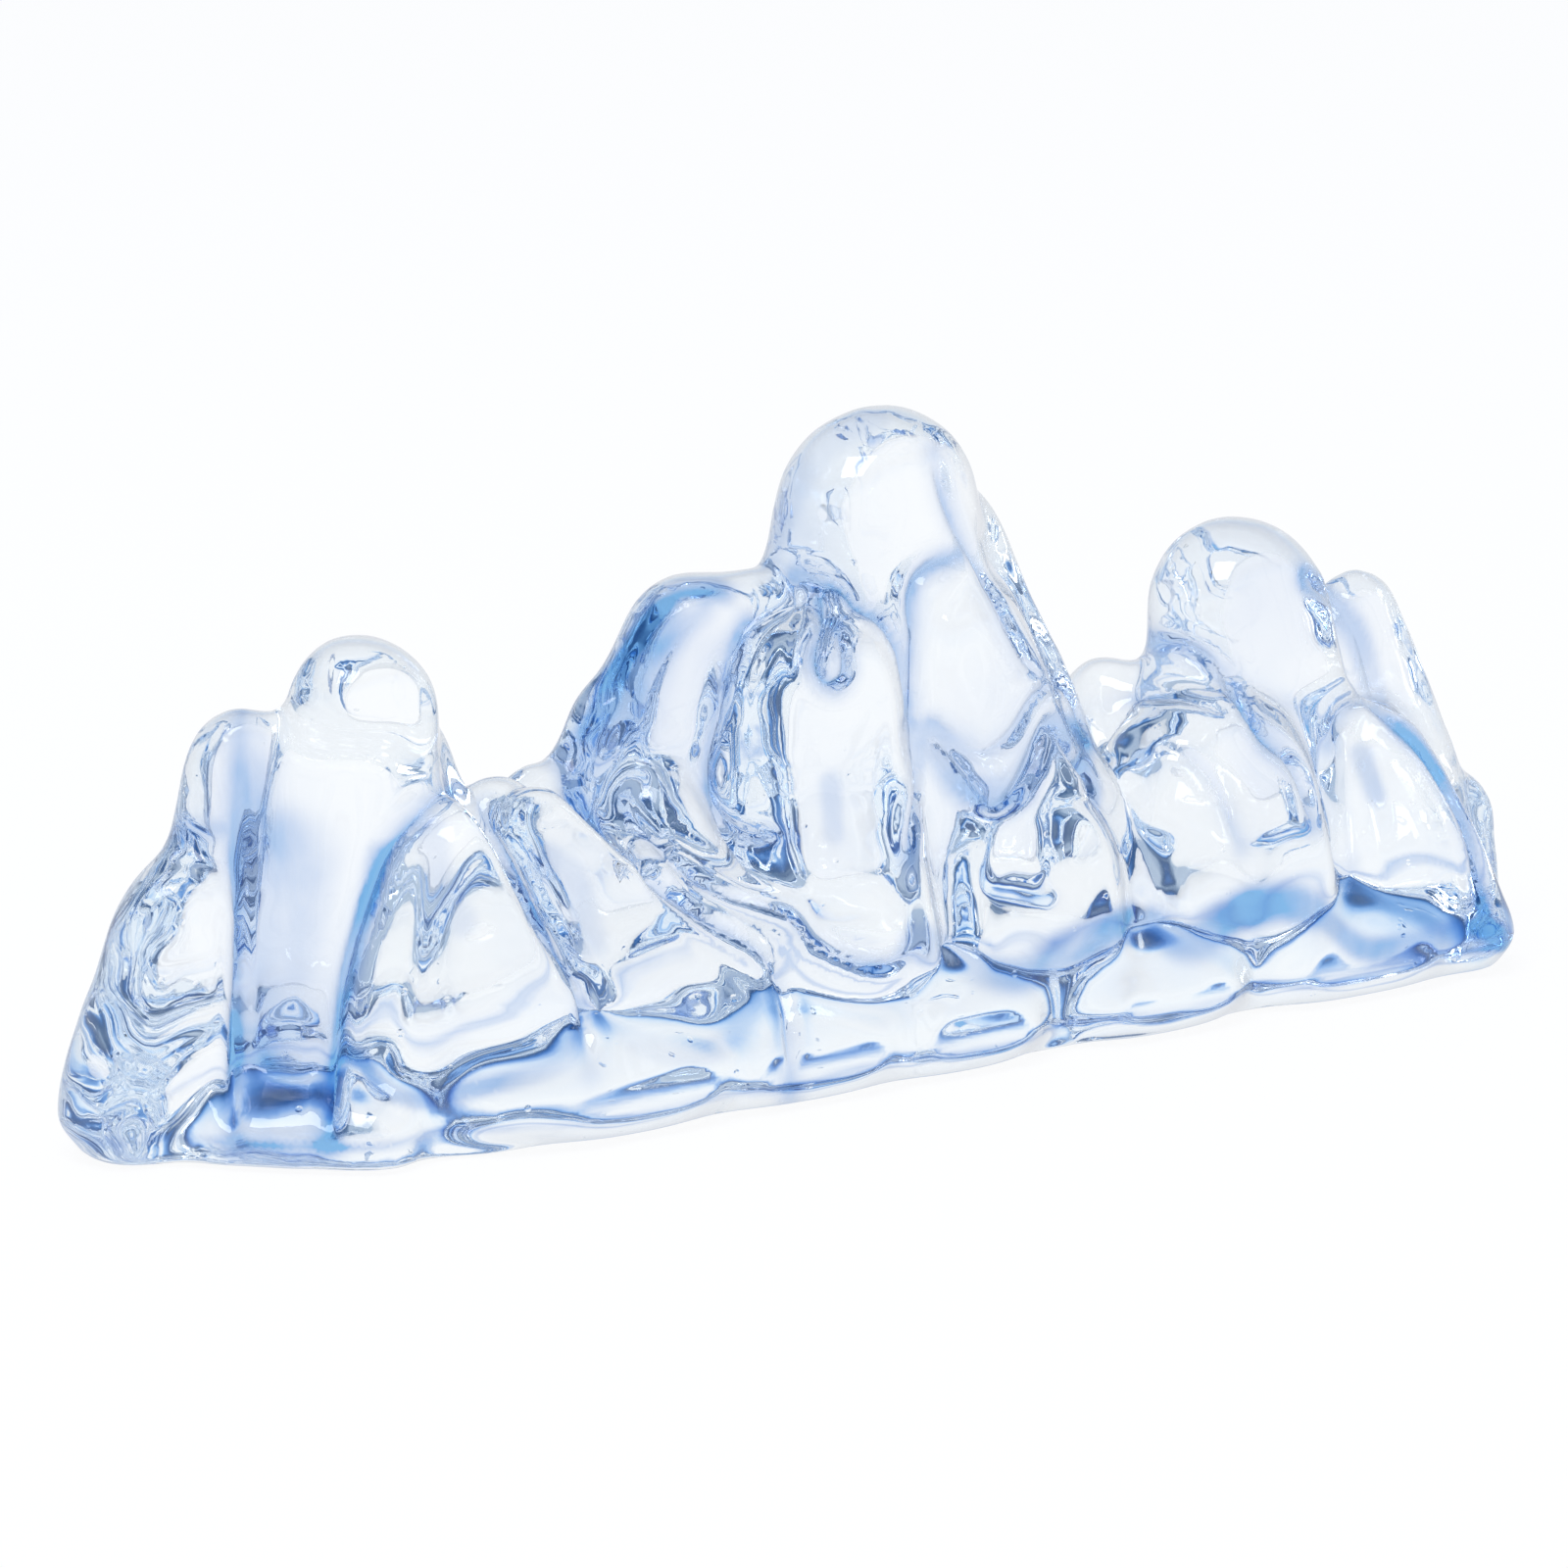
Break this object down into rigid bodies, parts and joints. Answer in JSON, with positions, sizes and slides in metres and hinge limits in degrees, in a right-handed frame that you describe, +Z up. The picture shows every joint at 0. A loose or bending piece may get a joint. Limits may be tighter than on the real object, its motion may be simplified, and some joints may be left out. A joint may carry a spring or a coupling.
{
  "type": "brush rest",
  "caption": "Cast glass rest for writing brushes in the form of a mountain range, with valleys between its peaks where the brushes lie.",
  "frame": {"origin": "on the ground under the middle of the foot", "axes": "+X along the range, from the low left peak to the right peak; -Y is the front; +Z is up"},
  "size_m": [0.1292, 0.03, 0.049],
  "materials": {
    "glass": "clear cast glass with a faint blue tint, fire-polished"
  },
  "bodies": {
    "root": {"glass_mountain": "glass"}
  },
  "joints": []
}
